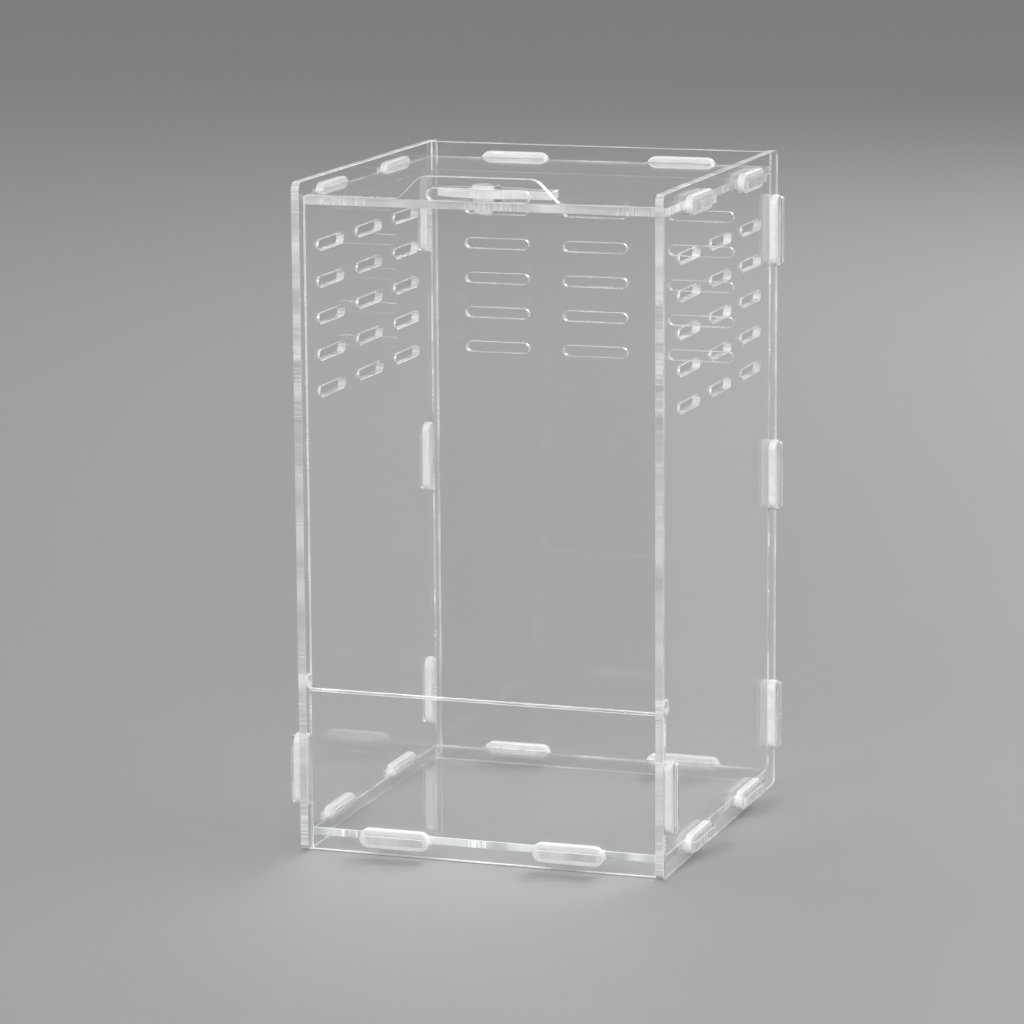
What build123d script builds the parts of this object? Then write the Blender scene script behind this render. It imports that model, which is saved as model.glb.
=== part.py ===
from build123d import *
from math import hypot, radians, tan
import os

# Knock-down enclosure cut from clear sheet, millimetres.
# X runs across the front, Y from the front to the back, Z up.
# The origin is on the ground, under the middle of the whole box.

# Sheet and the main sizes of the box
sheet = 3.0
inner_width = 135.0
side_depth = 150.0
height = 250.0
side_corner_radius = 3.0

# Where the cross panels stand between the two sides
front_setback = 3.0
back_setback = 6.5
roof_drop = 5.5
floor_lift = 5.2

# Tabs: a full-width root fills the slot, a notched neck holds the ring, a head keeps it on
tab_length = 26.0
neck_length = 22.0
neck_reach = 3.0
head_reach = 1.5
head_radius = 1.2
slot_play = 0.1
side_tab_inset = 30.0

# Soft rings stretched over the tabs
ring_side_wall = 2.2
ring_end_wall = 2.7
ring_play = 0.1
ring_edge_radius = 0.6

# Vent slots
vent_length = 26.0
vent_height = 4.0
vent_column_pitch = 40.2
vent_row_pitch = 13.6
vent_columns = 3
vent_rows = 5
vent_top_drop = 25.6

# Lower front panel and the drop-down door above it
lower_front_height = 60.8
door_gap = 0.5
door_side_play = 0.4
door_roof_play = 0.3
door_over_roof = 0.5
ear_height = 5.0
ear_play = 0.085
ear_proud = 0.5
door_corner_radius = 1.0

# Raised lip on the door's top edge, with the slot that the latch reaches through
lip_rise = 8.5
lip_base = 61.0
lip_flank_degrees = 45.0
lip_top_radius = 6.0
lip_root_radius = 3.0
lip_slot_length = 39.0
lip_slot_play = 0.7

# Latch: a flat lever that turns on a clear two-piece rivet through the roof
pivot_behind_door = 8.0
rivet_diameter = 5.0
rivet_play = 0.08
rivet_head_diameter = 10.2
rivet_head_height = 1.0
rivet_head_crown = 0.35
rivet_tip_proud = 0.6
cap_diameter = 9.6
cap_height = 1.9
lower_washer_diameter = 10.4
lower_washer_height = 0.9
upper_washer_diameter = 12.4
upper_washer_height = 0.4
lever_float = 0.05
lever_nose_reach = 18.8
lever_tail_reach = 26.0
lever_half_width = 3.6
lever_bulge = 7.3
lever_bulge_length = 34.0
lever_blend_radius = 2.0
lever_corner_radius = 0.8

# Positions worked out from the sizes above
tab_reach = neck_reach + head_reach
inner_x = inner_width / 2
outer_x = inner_x + sheet
front_overhang = max(0.0, tab_reach - front_setback)
side_front_y = (front_overhang - side_depth) / 2
side_back_y = side_front_y + side_depth
front_y = side_front_y + front_setback
inner_front_y = front_y + sheet
back_y = side_back_y - back_setback
inner_back_y = back_y - sheet
inner_depth = inner_back_y - inner_front_y
middle_y = (inner_front_y + inner_back_y) / 2
roof_top_z = height - roof_drop
roof_bottom_z = roof_top_z - sheet
door_bottom_z = lower_front_height + door_gap
door_top_z = roof_top_z + door_over_roof
hinge_y = front_y + sheet / 2
hinge_z = door_bottom_z + ear_height / 2
hinge_radius = hypot(ear_height, sheet) / 2 + ear_play
pivot_y = inner_front_y + pivot_behind_door
lever_bottom_z = roof_top_z + lower_washer_height + lever_float
lever_top_z = lever_bottom_z + sheet
cross_tabs_x = (-inner_width / 4, inner_width / 4)
cross_tabs_y = (middle_y - inner_depth / 4, middle_y + inner_depth / 4)
side_tab_heights = (side_tab_inset, height / 2, height - side_tab_inset)
lower_front_tab_z = lower_front_height / 2
roof_mid_z = roof_top_z - sheet / 2
floor_mid_z = floor_lift + sheet / 2
vent_middle_z = height - vent_top_drop - vent_row_pitch * (vent_rows - 1) / 2


def upright_across(y):
    """Sketch plane of a panel that faces the front, with its front face at y."""
    return Plane.XZ.offset(-y)


def upright_along(x):
    """Sketch plane of a side panel, with its left face at x."""
    return Plane.YZ.offset(x)


def rectangle(x0, y0, x1, y1):
    """Rectangle between two opposite corners."""
    return Pos((x0 + x1) / 2, (y0 + y1) / 2) * Rectangle(x1 - x0, y1 - y0)


def tab(x, y, direction):
    """Tab that leaves a panel's edge at (x, y); direction is its heading in degrees."""
    root = rectangle(0, -tab_length / 2, sheet, tab_length / 2)
    neck = rectangle(sheet, -neck_length / 2, sheet + neck_reach, neck_length / 2)
    head_start = sheet + neck_reach
    head = rectangle(head_start, -tab_length / 2, head_start + head_reach, tab_length / 2)
    outer = [v for v in head.vertices() if v.X > head_start + head_reach / 2]
    head = fillet(outer, min(head_radius, head_reach * 0.9))
    return Pos(x, y) * Rot(0, 0, direction) * (root + neck + head)


def tab_slot(x, y, upright=False):
    """Slot that a tab's root and head pass through, centred on (x, y)."""
    long_side = tab_length + 2 * slot_play
    short_side = sheet + 2 * slot_play
    size = (short_side, long_side) if upright else (long_side, short_side)
    return Pos(x, y) * Rectangle(*size)


def vents(x, y):
    """Grid of vent slots about (x, y)."""
    grid = GridLocations(vent_column_pitch, vent_row_pitch, vent_columns, vent_rows)
    return [Pos(x, y) * spot * SlotOverall(vent_length, vent_height) for spot in grid]


def side_panel(left_x):
    """Side panel with its slots, vents and the round hole for the door's ear."""
    face = rectangle(side_front_y, 0, side_back_y, height)
    face = fillet(face.vertices(), side_corner_radius)
    for y in cross_tabs_y:
        face -= tab_slot(y, roof_mid_z)
        face -= tab_slot(y, floor_mid_z)
    for z in side_tab_heights:
        face -= tab_slot(back_y - sheet / 2, z, upright=True)
    face -= tab_slot(hinge_y, lower_front_tab_z, upright=True)
    face -= Pos(hinge_y, hinge_z) * Circle(hinge_radius)
    face -= vents(middle_y, vent_middle_z)
    return extrude(upright_along(left_x) * face, sheet)


def back_panel():
    """Back panel: three tabs on each side, slots for the roof and floor, and vents."""
    face = rectangle(-inner_x, 0, inner_x, height)
    for z in side_tab_heights:
        face += tab(inner_x, z, 0) + tab(-inner_x, z, 180)
    for x in cross_tabs_x:
        face -= tab_slot(x, roof_mid_z) + tab_slot(x, floor_mid_z)
    face -= vents(0, vent_middle_z)
    return extrude(upright_across(inner_back_y) * face, -sheet)


def lower_front_panel():
    """Fixed front panel under the door: one tab on each side, slots for the floor."""
    face = rectangle(-inner_x, 0, inner_x, lower_front_height)
    face += tab(inner_x, lower_front_tab_z, 0) + tab(-inner_x, lower_front_tab_z, 180)
    for x in cross_tabs_x:
        face -= tab_slot(x, floor_mid_z)
    return extrude(upright_across(front_y) * face, -sheet)


def floor_panel():
    """Floor: two tabs on each of its four edges."""
    face = rectangle(-inner_x, inner_front_y, inner_x, inner_back_y)
    for y in cross_tabs_y:
        face += tab(inner_x, y, 0) + tab(-inner_x, y, 180)
    for x in cross_tabs_x:
        face += tab(x, inner_front_y, -90) + tab(x, inner_back_y, 90)
    return extrude(Plane.XY.offset(floor_lift) * face, sheet)


def roof_panel():
    """Roof: two tabs on three edges, a plain front edge and the latch rivet's hole."""
    face = rectangle(-inner_x, inner_front_y + door_roof_play, inner_x, inner_back_y)
    for y in cross_tabs_y:
        face += tab(inner_x, y, 0) + tab(-inner_x, y, 180)
    for x in cross_tabs_x:
        face += tab(x, inner_back_y, 90)
    face -= Pos(0, pivot_y) * Circle(rivet_diameter / 2 + rivet_play)
    return extrude(Plane.XY.offset(roof_bottom_z) * face, sheet)


def lip_outline():
    """Raised lip in the middle of the door's top edge, with its slanted flanks."""
    run = lip_rise / tan(radians(lip_flank_degrees))
    base = lip_base / 2
    top_z = door_top_z + lip_rise
    foot_z = door_top_z - lip_rise
    corners = [(-base, door_top_z), (-base + run, top_z), (base - run, top_z), (base, door_top_z)]
    lip = make_face(Polyline(*corners, (base, foot_z), (-base, foot_z), close=True))
    return lip, top_z


def front_door():
    """Drop-down door: hinge ears at its foot, slotted lip on its top edge."""
    half = inner_x - door_side_play
    face = rectangle(-half, door_bottom_z, half, door_top_z)
    lip, lip_top = lip_outline()
    face += lip
    tops = [v for v in face.vertices() if abs(v.Y - lip_top) < 0.01]
    face = fillet(tops, lip_top_radius)
    roots = [v for v in face.vertices() if abs(v.Y - door_top_z) < 0.01 and abs(v.X) < half - 1]
    face = fillet(roots, lip_root_radius)
    corners = [v for v in face.vertices() if abs(v.Y - door_top_z) < 0.01 and abs(v.X) > half - 1]
    face = fillet(corners, door_corner_radius)
    ear_end = outer_x + ear_proud
    face += rectangle(-ear_end, door_bottom_z, ear_end, door_bottom_z + ear_height)
    slot = SlotOverall(lip_slot_length, sheet + 2 * lip_slot_play)
    face -= Pos(0, (lever_bottom_z + lever_top_z) / 2) * slot
    return extrude(upright_across(front_y) * face, -sheet)


def latch_lever():
    """Flat lever, drawn about its pivot: bulged blade with a round nose left, square tail right."""
    half = lever_half_width
    shoulder = lever_bulge_length / 2
    front = ThreePointArc((-shoulder, -half), (0, -lever_bulge), (shoulder, -half))
    end = Line((shoulder, -half), (shoulder, half))
    back = ThreePointArc((shoulder, half), (0, lever_bulge), (-shoulder, half))
    nose = ThreePointArc((-shoulder, half), (-lever_nose_reach, 0), (-shoulder, -half))
    face = make_face([front, end, back, nose]) + rectangle(0, -half, lever_tail_reach, half)
    ends = [v for v in face.vertices() if v.X > lever_tail_reach - 0.01]
    face = fillet(ends, lever_corner_radius)
    meets = [v for v in face.vertices() if abs(v.X - shoulder) < 0.01]
    face = fillet(meets, lever_blend_radius)
    face -= Circle(rivet_diameter / 2 + rivet_play)
    return extrude(Pos(0, pivot_y, lever_bottom_z) * face, sheet)


def washer(diameter, bottom_z, thickness):
    """Flat washer on the latch rivet."""
    face = Circle(diameter / 2) - Circle(rivet_diameter / 2 + rivet_play)
    return extrude(Pos(0, pivot_y, bottom_z) * face, thickness)


def latch_rivet():
    """Clear rivet: low round head above the lever, shank down through the roof."""
    seat_z = lever_top_z + lever_float + upper_washer_height
    head = extrude(Pos(0, pivot_y, seat_z) * Circle(rivet_head_diameter / 2), rivet_head_height)
    head = fillet(head.edges().filter_by(GeomType.CIRCLE).sort_by(Axis.Z)[-1], rivet_head_crown)
    tip_z = roof_bottom_z - cap_height - rivet_tip_proud
    shank = extrude(Pos(0, pivot_y, tip_z) * Circle(rivet_diameter / 2), seat_z - tip_z)
    tip = shank.edges().filter_by(GeomType.CIRCLE).sort_by(Axis.Z)[0]
    return head + chamfer(tip, rivet_tip_proud / 2)


def rivet_cap():
    """Round cap pressed on the rivet's shank under the roof."""
    face = Circle(cap_diameter / 2) - Circle(rivet_diameter / 2 + rivet_play)
    cap = extrude(Pos(0, pivot_y, roof_bottom_z - cap_height) * face, cap_height)
    rims = cap.edges().filter_by(GeomType.CIRCLE).group_by(Axis.Z)[0].sort_by(SortBy.RADIUS)
    return fillet(rims[-1], rivet_head_crown)


def ring():
    """Soft ring that locks one tab: it lies on Z = 0 and its tab comes up along Z."""
    hole_x = neck_length + 2 * ring_play
    hole_y = sheet + 2 * ring_play
    outer_length = neck_length + 2 * ring_end_wall
    outer_width = sheet + 2 * ring_side_wall
    body = extrude(SlotOverall(outer_length, outer_width), neck_reach - ring_play)
    rims = body.edges().group_by(Axis.Z)
    body = fillet(rims[0] + rims[-1], ring_edge_radius)
    return body - extrude(Rectangle(hole_x, hole_y), neck_reach)


def ring_places():
    """Every ring's name and the plane it lies on: x along the tab, z away from the panel."""
    places = {}
    for side, x, away in (("left", -outer_x, -1), ("right", outer_x, 1)):
        for panel, z in (("roof", roof_mid_z), ("floor", floor_mid_z)):
            for end, y in zip(("front", "rear"), cross_tabs_y):
                spot = (x, y, z)
                places[f"ring_{panel}_{side}_{end}"] = Plane(spot, x_dir=(0, 1, 0), z_dir=(away, 0, 0))
        for level, z in zip(("low", "middle", "high"), side_tab_heights):
            spot = (x, back_y - sheet / 2, z)
            places[f"ring_back_{side}_{level}"] = Plane(spot, x_dir=(0, 0, 1), z_dir=(away, 0, 0))
        spot = (x, hinge_y, lower_front_tab_z)
        places[f"ring_lower_front_{side}"] = Plane(spot, x_dir=(0, 0, 1), z_dir=(away, 0, 0))
    for side, x in zip(("left", "right"), cross_tabs_x):
        for panel, z in (("roof", roof_mid_z), ("floor", floor_mid_z)):
            spot = (x, back_y, z)
            places[f"ring_{panel}_back_{side}"] = Plane(spot, x_dir=(1, 0, 0), z_dir=(0, 1, 0))
        spot = (x, front_y, floor_mid_z)
        places[f"ring_floor_front_{side}"] = Plane(spot, x_dir=(1, 0, 0), z_dir=(0, -1, 0))
    return places


def build():
    """All sub-parts by name."""
    parts = {
        "left_side_panel": side_panel(-outer_x),
        "right_side_panel": side_panel(inner_x),
        "back_panel": back_panel(),
        "lower_front_panel": lower_front_panel(),
        "floor_panel": floor_panel(),
        "roof_panel": roof_panel(),
        "front_door": front_door(),
        "latch_lever": latch_lever(),
        "latch_rivet": latch_rivet(),
        "rivet_cap": rivet_cap(),
        "lower_washer": washer(lower_washer_diameter, roof_top_z, lower_washer_height),
        "upper_washer": washer(upper_washer_diameter, lever_top_z + lever_float, upper_washer_height),
    }
    one_ring = ring()
    for name, place in ring_places().items():
        parts[name] = place * one_ring
    return parts


os.makedirs("parts", exist_ok=True)
for name, shape in build().items():
    export_step(shape, f"parts/{name}.step")
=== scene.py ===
import bpy
import bmesh
from math import cos, radians, sin
from mathutils import Matrix, Vector


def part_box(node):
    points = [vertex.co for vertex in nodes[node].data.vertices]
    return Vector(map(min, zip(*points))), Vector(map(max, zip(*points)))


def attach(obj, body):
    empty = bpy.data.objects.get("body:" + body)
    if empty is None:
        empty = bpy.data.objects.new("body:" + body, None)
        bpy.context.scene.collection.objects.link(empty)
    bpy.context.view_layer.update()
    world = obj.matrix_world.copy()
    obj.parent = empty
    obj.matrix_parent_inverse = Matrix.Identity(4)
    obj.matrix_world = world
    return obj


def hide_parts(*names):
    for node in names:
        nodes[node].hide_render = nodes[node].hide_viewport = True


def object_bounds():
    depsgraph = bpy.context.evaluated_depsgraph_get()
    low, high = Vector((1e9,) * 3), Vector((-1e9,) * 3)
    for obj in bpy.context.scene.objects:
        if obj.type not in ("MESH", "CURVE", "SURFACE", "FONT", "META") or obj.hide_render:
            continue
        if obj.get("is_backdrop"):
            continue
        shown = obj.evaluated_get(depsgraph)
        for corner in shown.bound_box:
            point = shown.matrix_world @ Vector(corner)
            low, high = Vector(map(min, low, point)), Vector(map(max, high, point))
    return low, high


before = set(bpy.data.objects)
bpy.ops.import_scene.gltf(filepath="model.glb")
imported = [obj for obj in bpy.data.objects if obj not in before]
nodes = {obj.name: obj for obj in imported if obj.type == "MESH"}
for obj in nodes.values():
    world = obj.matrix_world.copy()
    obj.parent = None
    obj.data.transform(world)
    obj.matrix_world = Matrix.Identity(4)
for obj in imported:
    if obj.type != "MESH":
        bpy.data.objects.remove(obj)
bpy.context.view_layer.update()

cameraSettings = {
    "place": (0.53546, -1.59285, 0.44327),
    "azimuth": 18.97,      # degrees round to the right of the front
    "elevation": 10.93,    # degrees above the horizon
    "roll": -0.36,
    "lens": 159.3,
    "sensorWidth": 36,
    "farEnd": 100,
}


def makeCamera(settings):
    azimuth, elevation, roll = (radians(settings[k]) for k in ("azimuth", "elevation", "roll"))
    back = Vector((sin(azimuth) * cos(elevation), -cos(azimuth) * cos(elevation), sin(elevation)))
    right = (-back).cross(Vector((0, 0, 1))).normalized()
    up = right.cross(-back)
    rolledRight = cos(roll) * right + sin(roll) * up
    rolledUp = cos(roll) * up - sin(roll) * right
    turn = Matrix((rolledRight, rolledUp, back)).transposed().to_4x4()
    data = bpy.data.cameras.new("productCamera")
    data.lens = settings["lens"]
    data.sensor_width = settings["sensorWidth"]
    data.clip_end = settings["farEnd"]
    camera = bpy.data.objects.new("productCamera", data)
    bpy.context.scene.collection.objects.link(camera)
    camera.matrix_world = Matrix.Translation(settings["place"]) @ turn
    bpy.context.scene.camera = camera


makeCamera(cameraSettings)
print("camera placed")


# small helpers for building node trees

def addNode(tree, kind, **values):
    node = tree.nodes.new(kind)
    for name, value in values.items():
        if hasattr(node, name):
            setattr(node, name, value)
        else:
            node.inputs[name.replace("_", " ")].default_value = value
    return node


def addMath(tree, operation, *sources):
    # each source is an output to link, or a plain number
    node = addNode(tree, "ShaderNodeMath", operation=operation)
    for socket, source in zip(node.inputs, sources):
        if isinstance(source, float):
            socket.default_value = source
        else:
            tree.links.new(source, socket)
    return node.outputs[0]


def addNoise(tree, vector, **values):
    node = addNode(tree, "ShaderNodeTexNoise", **values)
    tree.links.new(vector, node.inputs["Vector"])
    return node


def addMapping(tree, vector, **values):
    node = addNode(tree, "ShaderNodeMapping", **values)
    tree.links.new(vector, node.inputs["Vector"])
    return node


def addRange(tree, source, span, reach=(0.0, 1.0)):
    node = addNode(tree, "ShaderNodeMapRange", From_Min=span[0], From_Max=span[1],
                   To_Min=reach[0], To_Max=reach[1])
    tree.links.new(source, node.inputs["Value"])
    return node.outputs["Result"]


def addRamp(tree, source, span, colors):
    ramp = tree.nodes.new("ShaderNodeValToRGB")
    for element, position, color in zip(ramp.color_ramp.elements, span, colors):
        element.position = position
        element.color = color
    tree.links.new(source, ramp.inputs["Fac"])
    return ramp.outputs["Color"]


def addGroup(name, inputs, outputs):
    group = bpy.data.node_groups.new(name, "ShaderNodeTree")
    for label, kind, value in inputs:
        socket = group.interface.new_socket(name=label, in_out="INPUT", socket_type=kind)
        socket.default_value = value
    for label in outputs:
        group.interface.new_socket(name=label, in_out="OUTPUT", socket_type="NodeSocketFloat")
    return group, group.nodes.new("NodeGroupInput"), group.nodes.new("NodeGroupOutput")


def useGroup(tree, group, **values):
    node = tree.nodes.new("ShaderNodeGroup")
    node.node_tree = group
    for label, value in values.items():
        node.inputs[label].default_value = value
    return node


handling = {
    "hairlines": (    # a turn, and how far the pattern is drawn out along each axis
        (0.5, (14, 900, 900)),
        (-0.9, (900, 20, 900)),
        (0.2, (700, 700, 16)),
    ),
    "hairlineSpan": (0.70, 0.78),
    "speckScale": 420.0,
    "speckSpan": (0.10, 0.05),
    "speckShare": 0.22,
    "filmScale": 22.0,
    "filmSpan": (0.45, 0.85),
    "filmShare": (0.0, 0.05),
}


def buildHandlingMarks(settings):
    # hairline scratches and a breath of dust, as on sheet that has been wiped and handled
    group, start, end = addGroup(
        "handlingMarks",
        [("Scratches", "NodeSocketFloat", 1.0), ("Dust", "NodeSocketFloat", 1.0),
         ("Base", "NodeSocketFloat", 0.02)],
        ["Height", "Roughness"],
    )
    place = addNode(group, "ShaderNodeTexCoord").outputs["Object"]
    lines = []
    for turn, stretch in settings["hairlines"]:
        rotation = (turn, turn * 0.7, turn * 1.3)
        mapping = addMapping(group, place, Rotation=rotation, Scale=stretch)
        noise = addNoise(group, mapping.outputs["Vector"], Scale=1.0, Detail=2.0, Roughness=0.6)
        lines.append(addRange(group, noise.outputs["Fac"], settings["hairlineSpan"]))
    either = addMath(group, "MAXIMUM", lines[0], lines[1])
    every = addMath(group, "MAXIMUM", either, lines[2])
    scratch = addMath(group, "MULTIPLY", every, start.outputs["Scratches"])
    specks = addNode(group, "ShaderNodeTexVoronoi", Scale=settings["speckScale"])
    group.links.new(place, specks.inputs["Vector"])
    speck = addRange(group, specks.outputs["Distance"], settings["speckSpan"])
    smear = addNoise(group, place, Scale=settings["filmScale"], Detail=4.0, Roughness=0.55)
    film = addRange(group, smear.outputs["Fac"], settings["filmSpan"], settings["filmShare"])
    dusty = addMath(group, "MULTIPLY_ADD", speck, settings["speckShare"], film)
    dusted = addMath(group, "MULTIPLY", dusty, start.outputs["Dust"])
    rough = addMath(group, "ADD", dusted, start.outputs["Base"])
    group.links.new(scratch, end.inputs["Height"])
    group.links.new(rough, end.inputs["Roughness"])
    return group


streakAndBandSettings = {
    "middle": 0.5,            # the noise's own mean, taken away so that flutes go both ways
    "patchScale": 48.0,
    "patchSpan": (0.50, 0.64),
    "broadScale": 70.0,
}


def buildCutStreaksAndPaintedBands(settings):
    # soft light and dark stretches, with patches of fine flutes left across the thickness by the cut;
    # on the clear fittings the same stretches make painted light and dark refraction bands, and on the
    # broken corners they vary the painted highlight
    group, start, end = addGroup(
        "cutStreaksAndPaintedBands",
        [("Along", "NodeSocketVector", (1, 1, 1)), ("Fineness", "NodeSocketFloat", 900.0),
         ("Flutes", "NodeSocketFloat", 0.5)],
        ["Height", "Shade"],
    )
    place = addNode(group, "ShaderNodeTexCoord").outputs["Object"]
    mapping = addMapping(group, place)
    group.links.new(start.outputs["Along"], mapping.inputs["Scale"])
    along = mapping.outputs["Vector"]
    flutes = addNoise(group, along, Detail=1.5, Roughness=0.5)
    group.links.new(start.outputs["Fineness"], flutes.inputs["Scale"])
    patches = addNoise(group, along, Scale=settings["patchScale"], Detail=1.0)
    mask = addRange(group, patches.outputs["Fac"], settings["patchSpan"])
    centred = addMath(group, "SUBTRACT", flutes.outputs["Fac"], settings["middle"])
    masked = addMath(group, "MULTIPLY", centred, mask)
    scaled = addMath(group, "MULTIPLY", masked, start.outputs["Flutes"])
    broad = addNoise(group, along, Scale=settings["broadScale"], Detail=2.0, Roughness=0.5)
    shade = addMath(group, "ADD", broad.outputs["Fac"], scaled)
    group.links.new(scaled, end.inputs["Height"])
    group.links.new(shade, end.inputs["Shade"])
    return group


handlingMarks = buildHandlingMarks(handling)
cutStreaksAndPaintedBands = buildCutStreaksAndPaintedBands(streakAndBandSettings)
print("shared effects built")


def newMaterial(name):
    material = bpy.data.materials.new(name)
    material.use_nodes = True
    tree = material.node_tree
    tree.nodes.clear()
    shader = tree.nodes.new("ShaderNodeBsdfPrincipled")
    output = tree.nodes.new("ShaderNodeOutputMaterial")
    return material, tree, shader, output


def letLightThrough(tree, shader, output, tint):
    # shadows of clear sheet stay light, as they are through the real thing
    path = tree.nodes.new("ShaderNodeLightPath")
    clear = tree.nodes.new("ShaderNodeBsdfTransparent")
    clear.inputs["Color"].default_value = tint
    mix = tree.nodes.new("ShaderNodeMixShader")
    tree.links.new(path.outputs["Is Shadow Ray"], mix.inputs["Fac"])
    tree.links.new(shader.outputs["BSDF"], mix.inputs[1])
    tree.links.new(clear.outputs["BSDF"], mix.inputs[2])
    tree.links.new(mix.outputs["Shader"], output.inputs["Surface"])


def addBump(tree, height, shader, relief):
    strength, distance = relief
    bump = addNode(tree, "ShaderNodeBump", Strength=strength, Distance=distance)
    tree.links.new(height, bump.inputs["Height"])
    tree.links.new(bump.outputs["Normal"], shader.inputs["Normal"])


clearSheet = {
    "tint": (0.993, 0.995, 0.995, 1),
    "ior": 1.49,
    "shadow": (0.945, 0.946, 0.946, 1),
    "scratches": 0.6,
    "scratchRelief": (0.12, 0.00002),    # strength, and depth in metres
    "dust": 1.0,
    "smoothness": 0.004,
}


def makeClearSheet(settings):
    material, tree, shader, output = newMaterial("clearSheet")
    shader.inputs["Base Color"].default_value = settings["tint"]
    shader.inputs["IOR"].default_value = settings["ior"]
    shader.inputs["Transmission Weight"].default_value = 1.0
    marks = useGroup(tree, handlingMarks, Scratches=settings["scratches"], Dust=settings["dust"],
                     Base=settings["smoothness"])
    tree.links.new(marks.outputs["Roughness"], shader.inputs["Roughness"])
    addBump(tree, marks.outputs["Height"], shader, settings["scratchRelief"])
    letLightThrough(tree, shader, output, settings["shadow"])
    return material


cutEdge = {
    "dark": (0.66, 0.67, 0.675, 1),
    "light": (0.95, 0.955, 0.955, 1),
    "shadeSpan": (0.32, 0.62),
    "roughness": (0.12, 0.34),
    "drawnOut": 0.04,                    # the flutes' scale across the thickness
    "fineness": 1500.0,
    "flutes": 0.9,
    "relief": (0.1, 0.00003),
    "ior": 1.49,
    "transmission": 0.22,
    "shadow": (0.7, 0.71, 0.72, 1),
}
# painted light: a lighter, less clear copy of the cut edge for the lever, which stands in for the light
# it lacks where it is seen through the door's clear sheet
leverEdgePaintedLight = {
    **cutEdge,
    "dark": (0.84, 0.85, 0.85, 1),
    "light": (0.99, 0.992, 0.992, 1),
    "transmission": 0.05,
}


def makeCutEdge(name, settings, axis):
    # axis is the sheet's thickness direction: the flutes run along it
    material, tree, shader, output = newMaterial(name + "XYZ"[axis])
    along = [1.0, 1.0, 1.0]
    along[axis] = settings["drawnOut"]
    streaks = useGroup(tree, cutStreaksAndPaintedBands, Along=along, Fineness=settings["fineness"],
                       Flutes=settings["flutes"])
    shade = streaks.outputs["Shade"]
    color = addRamp(tree, shade, settings["shadeSpan"], (settings["dark"], settings["light"]))
    rough = addRange(tree, shade, (0.3, 0.7), settings["roughness"])
    tree.links.new(rough, shader.inputs["Roughness"])
    tree.links.new(color, shader.inputs["Base Color"])
    shader.inputs["IOR"].default_value = settings["ior"]
    shader.inputs["Transmission Weight"].default_value = settings["transmission"]
    addBump(tree, streaks.outputs["Height"], shader, settings["relief"])
    letLightThrough(tree, shader, output, settings["shadow"])
    return material


paintedHighlightCorner = {
    "dark": (0.90, 0.905, 0.91, 1),
    "light": (0.99, 0.992, 0.992, 1),
    "shadeSpan": (0.3, 0.55),
    "roughness": 0.12,
    "fineness": 300.0,
    "flutes": 0.1,
    "ior": 1.49,
    "shadow": (0.7, 0.71, 0.72, 1),
}


def makePaintedHighlightCorner(settings):
    # painted highlight: the broken edges are coloured near white, standing in for the light they gather
    # inside the sheet and show as bright lines
    material, tree, shader, output = newMaterial("paintedHighlightCorner")
    streaks = useGroup(tree, cutStreaksAndPaintedBands, Along=(1, 1, 1), Fineness=settings["fineness"],
                       Flutes=settings["flutes"])
    color = addRamp(tree, streaks.outputs["Shade"], settings["shadeSpan"],
                    (settings["dark"], settings["light"]))
    tree.links.new(color, shader.inputs["Base Color"])
    shader.inputs["Roughness"].default_value = settings["roughness"]
    shader.inputs["IOR"].default_value = settings["ior"]
    letLightThrough(tree, shader, output, settings["shadow"])
    return material


softRing = {
    "pale": (0.965, 0.967, 0.962, 1),
    "shade": (0.82, 0.825, 0.825, 1),
    "shadeSpan": (0.38, 0.58),
    "roughness": (0.28, 0.42),
    "lineScale": 1400.0,
    "lineScaleAlong": 35.0,
    "cloudScale": 260.0,
    "cloudShare": 0.45,
    "relief": (0.12, 0.0001),
    "ior": 1.43,
    "glow": 0.35,
    "glowDepth": 0.0012,
}


def makeSoftRing(settings, axis):
    # axis is the ring's long direction: the faint drawn lines run along it
    material, tree, shader, output = newMaterial("softRing" + "XYZ"[axis])
    place = addNode(tree, "ShaderNodeTexCoord").outputs["Object"]
    stretch = [settings["lineScale"]] * 3
    stretch[axis] = settings["lineScaleAlong"]
    mapping = addMapping(tree, place, Scale=stretch)
    lines = addNoise(tree, mapping.outputs["Vector"], Scale=1.0, Detail=3.0, Roughness=0.6)
    clouds = addNoise(tree, place, Scale=settings["cloudScale"], Detail=4.0, Roughness=0.6)
    both = addNode(tree, "ShaderNodeMix", data_type="FLOAT")
    both.inputs[0].default_value = settings["cloudShare"]
    tree.links.new(lines.outputs["Fac"], both.inputs[2])
    tree.links.new(clouds.outputs["Fac"], both.inputs[3])
    color = addRamp(tree, both.outputs[0], settings["shadeSpan"], (settings["shade"], settings["pale"]))
    tree.links.new(color, shader.inputs["Base Color"])
    rough = addRange(tree, clouds.outputs["Fac"], (0.3, 0.7), settings["roughness"])
    tree.links.new(rough, shader.inputs["Roughness"])
    shader.inputs["Subsurface Weight"].default_value = settings["glow"]
    shader.inputs["Subsurface Radius"].default_value = (1.0, 1.0, 0.95)
    shader.inputs["Subsurface Scale"].default_value = settings["glowDepth"]
    shader.inputs["IOR"].default_value = settings["ior"]
    addBump(tree, both.outputs[0], shader, settings["relief"])
    tree.links.new(shader.outputs["BSDF"], output.inputs["Surface"])
    return material


clearFitting = {
    "dark": (0.42, 0.425, 0.43, 1),
    "light": (0.99, 0.992, 0.992, 1),
    "shadeSpan": (0.40, 0.54),
    "shadow": (0.8, 0.81, 0.82, 1),
    "scratches": 1.0,
    "dust": 0.8,
    "smoothness": 0.05,
    "transmission": 0.2,
    "ior": 1.5,
    "along": (1, 1, 0.12),
    "fineness": 420.0,
    "flutes": 1.2,
    "rippleScale": 480.0,
    "relief": (0.2, 0.0001),
}


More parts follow.
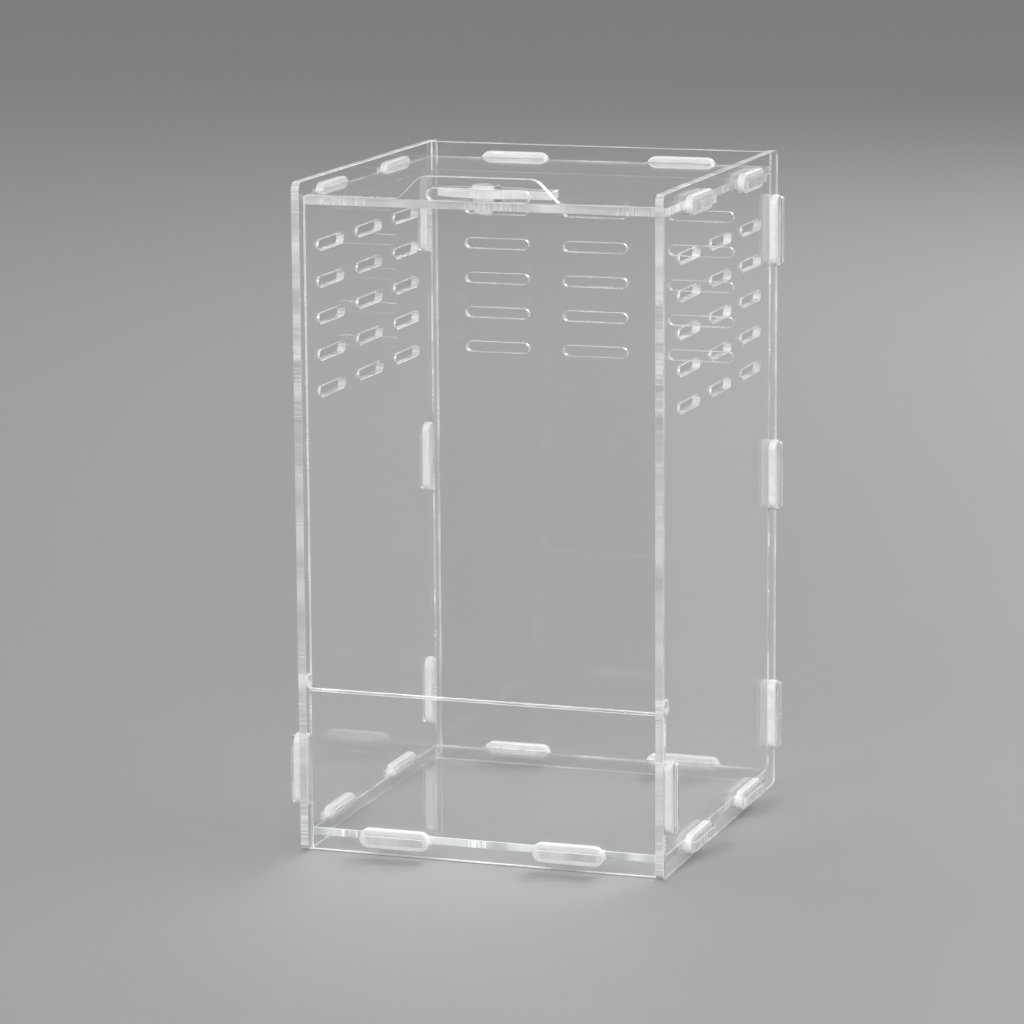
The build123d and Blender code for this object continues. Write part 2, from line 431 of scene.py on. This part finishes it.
def makeClearFitting(settings):
    # small moulded pieces: light and dark bands stand along the rivet as painted refraction, standing
    # in for the light they bend round it
    material, tree, shader, output = newMaterial("clearFitting")
    bands = useGroup(tree, cutStreaksAndPaintedBands, Along=settings["along"], Fineness=settings["fineness"],
                     Flutes=settings["flutes"])
    color = addRamp(tree, bands.outputs["Shade"], settings["shadeSpan"],
                    (settings["dark"], settings["light"]))
    tree.links.new(color, shader.inputs["Base Color"])
    shader.inputs["IOR"].default_value = settings["ior"]
    shader.inputs["Transmission Weight"].default_value = settings["transmission"]
    marks = useGroup(tree, handlingMarks, Scratches=settings["scratches"], Dust=settings["dust"],
                     Base=settings["smoothness"])
    tree.links.new(marks.outputs["Roughness"], shader.inputs["Roughness"])
    place = addNode(tree, "ShaderNodeTexCoord").outputs["Object"]
    ripple = addNoise(tree, place, Scale=settings["rippleScale"], Detail=2.0)
    addBump(tree, ripple.outputs["Fac"], shader, settings["relief"])
    letLightThrough(tree, shader, output, settings["shadow"])
    return material


sheetFace = makeClearSheet(clearSheet)
sheetEdges = [makeCutEdge("cutEdge", cutEdge, axis) for axis in range(3)]
leverPaintedLightSkin = makeCutEdge("leverEdgePaintedLight", leverEdgePaintedLight, 2)
ringSkins = [makeSoftRing(softRing, axis) for axis in range(3)]
cornerPaintedHighlightSkin = makePaintedHighlightCorner(paintedHighlightCorner)
fittingSkin = makeClearFitting(clearFitting)
print("materials made")


sheetPieces = {    # the CAD node, its thickness axis and its body
    "leftSidePanel": ("left_side_panel", 0, "case"),
    "rightSidePanel": ("right_side_panel", 0, "case"),
    "backPanel": ("back_panel", 1, "case"),
    "lowerFrontPanel": ("lower_front_panel", 1, "case"),
    "floorPanel": ("floor_panel", 2, "case"),
    "roofPanel": ("roof_panel", 2, "case"),
    "frontDoor": ("front_door", 1, "door"),
    "latchLever": ("latch_lever", 2, "latch"),
}
sheetSettings = {
    "brokenEdge": 0.0002,
    "sharpAngle": 40,
    "mergeReach": 1e-6,
    "flatAngle": 0.5,
    "faceLean": 0.99,    # how far a normal leans along the thickness on a face
    "edgeLean": 0.2,     # and on a cut edge; what lies between is a broken corner
    "sortAlong": Vector((1.0, 1.618, 2.718)),
}


def makeSheetPiece(name, node, axis, body, settings):
    # the cut sheet, with its sharp edges just broken so that they catch the light; the broken corners
    # also carry a painted highlight
    sheet = bmesh.new()
    sheet.from_mesh(nodes[node].data)
    bmesh.ops.remove_doubles(sheet, verts=sheet.verts[:], dist=settings["mergeReach"])
    bmesh.ops.dissolve_limit(sheet, angle_limit=radians(settings["flatAngle"]), verts=sheet.verts[:],
                             edges=sheet.edges[:])
    sharp = [e for e in sheet.edges
             if len(e.link_faces) == 2 and e.calc_face_angle() > radians(settings["sharpAngle"])]
    bmesh.ops.bevel(sheet, geom=sharp, offset=settings["brokenEdge"], offset_type="OFFSET", segments=1,
                    profile=0.5, affect="EDGES", clamp_overlap=True, material=-1)
    bmesh.ops.triangulate(sheet, faces=[f for f in sheet.faces if len(f.verts) > 4])
    # triangulate leaves its faces in any order, so they get a fixed one
    sheet.faces.sort(key=lambda face: face.calc_center_median().dot(settings["sortAlong"]))
    bmesh.ops.recalc_face_normals(sheet, faces=sheet.faces[:])
    for face in sheet.faces:
        lean = abs(face.normal[axis])
        isFace, isEdge = lean > settings["faceLean"], lean < settings["edgeLean"]
        face.material_index = 0 if isFace else 1 if isEdge else 2
        face.smooth = False
    mesh = bpy.data.meshes.new(name)
    sheet.to_mesh(mesh)
    sheet.free()
    mesh.materials.append(sheetFace)
    mesh.materials.append(leverPaintedLightSkin if body == "latch" else sheetEdges[axis])
    # the broken corners get the painted highlight material
    mesh.materials.append(cornerPaintedHighlightSkin)
    piece = bpy.data.objects.new(name, mesh)
    bpy.context.scene.collection.objects.link(piece)
    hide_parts(node)
    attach(piece, body)


for name, (node, axis, body) in sheetPieces.items():
    makeSheetPiece(name, node, axis, body, sheetSettings)
print("sheet pieces cut")


def paintNode(node, material):
    slots = nodes[node].material_slots
    if slots:
        slots[0].material = material
    else:
        nodes[node].data.materials.append(material)


for name in nodes:
    if name.startswith("ring_"):
        low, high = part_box(name)
        sizes = [high[i] - low[i] for i in range(3)]
        paintNode(name, ringSkins[sizes.index(max(sizes))])
for name in ("latch_rivet", "rivet_cap", "lower_washer", "upper_washer"):
    paintNode(name, fittingSkin)
print("rings and fittings finished")


studio = {
    "floorColor": (0.36, 0.365, 0.37, 1),
    "floorRoughness": 0.6,
    "floorRadius": 30.0,
    "floorSegments": 64,
    "floorHeight": -0.0002,
    "backdrop": (0.35, 0.355, 0.36, 1),
    "worldStrength": 0.5,
}


def makeFloor(settings):
    floor = bmesh.new()
    bmesh.ops.create_circle(floor, cap_ends=True, segments=settings["floorSegments"],
                            radius=settings["floorRadius"])
    mesh = bpy.data.meshes.new("studioFloor")
    floor.to_mesh(mesh)
    floor.free()
    piece = bpy.data.objects.new("studioFloor", mesh)
    piece.location.z = settings["floorHeight"]
    bpy.context.scene.collection.objects.link(piece)
    material, tree, shader, output = newMaterial("studioFloor")
    shader.inputs["Base Color"].default_value = settings["floorColor"]
    shader.inputs["Roughness"].default_value = settings["floorRoughness"]
    tree.links.new(shader.outputs["BSDF"], output.inputs["Surface"])
    mesh.materials.append(material)
    piece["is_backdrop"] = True


def makeWorld(settings):
    # the camera sees the backdrop, also in and through the sheets; all else gets the soft light
    world = bpy.data.worlds.new("studioWorld")
    world.use_nodes = True
    tree = world.node_tree
    tree.nodes.clear()
    output = tree.nodes.new("ShaderNodeOutputWorld")
    soft = addNode(tree, "ShaderNodeBackground", Color=(1, 1, 1, 1), Strength=settings["worldStrength"])
    seen = addNode(tree, "ShaderNodeBackground", Color=settings["backdrop"], Strength=1.0)
    path = tree.nodes.new("ShaderNodeLightPath")
    clear = addMath(tree, "MAXIMUM", path.outputs["Is Glossy Ray"], path.outputs["Is Transmission Ray"])
    direct = addMath(tree, "MAXIMUM", path.outputs["Is Camera Ray"], clear)
    mix = tree.nodes.new("ShaderNodeMixShader")
    tree.links.new(direct, mix.inputs["Fac"])
    tree.links.new(soft.outputs["Background"], mix.inputs[1])
    tree.links.new(seen.outputs["Background"], mix.inputs[2])
    tree.links.new(mix.outputs["Shader"], output.inputs["Surface"])
    bpy.context.scene.world = world


lamps = {
    "keyLight": {"place": (-1.2, -1.7, 1.5), "size": 1.2, "power": 20},
    "fillLight": {"place": (1.9, -1.3, 0.9), "size": 1.4, "power": 19},
    "rimLight": {"place": (0.4, 1.8, 1.3), "size": 1.0, "power": 18},
}
lampTarget = Vector((0, 0, 0.12))


def makeLamp(name, settings):
    data = bpy.data.lights.new(name, "AREA")
    data.size = settings["size"]
    data.energy = settings["power"]
    lamp = bpy.data.objects.new(name, data)
    lamp.location = settings["place"]
    aim = lampTarget - Vector(settings["place"])
    lamp.rotation_euler = aim.to_track_quat("-Z", "Y").to_euler()
    bpy.context.scene.collection.objects.link(lamp)


makeFloor(studio)
makeWorld(studio)
for name, settings in lamps.items():
    makeLamp(name, settings)
bpy.context.scene.view_settings.view_transform = "Standard"
bpy.context.scene.cycles.max_bounces = 24
bpy.context.scene.cycles.transmission_bounces = 24
bpy.context.scene.cycles.transparent_max_bounces = 32
print("studio lit")

low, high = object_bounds()
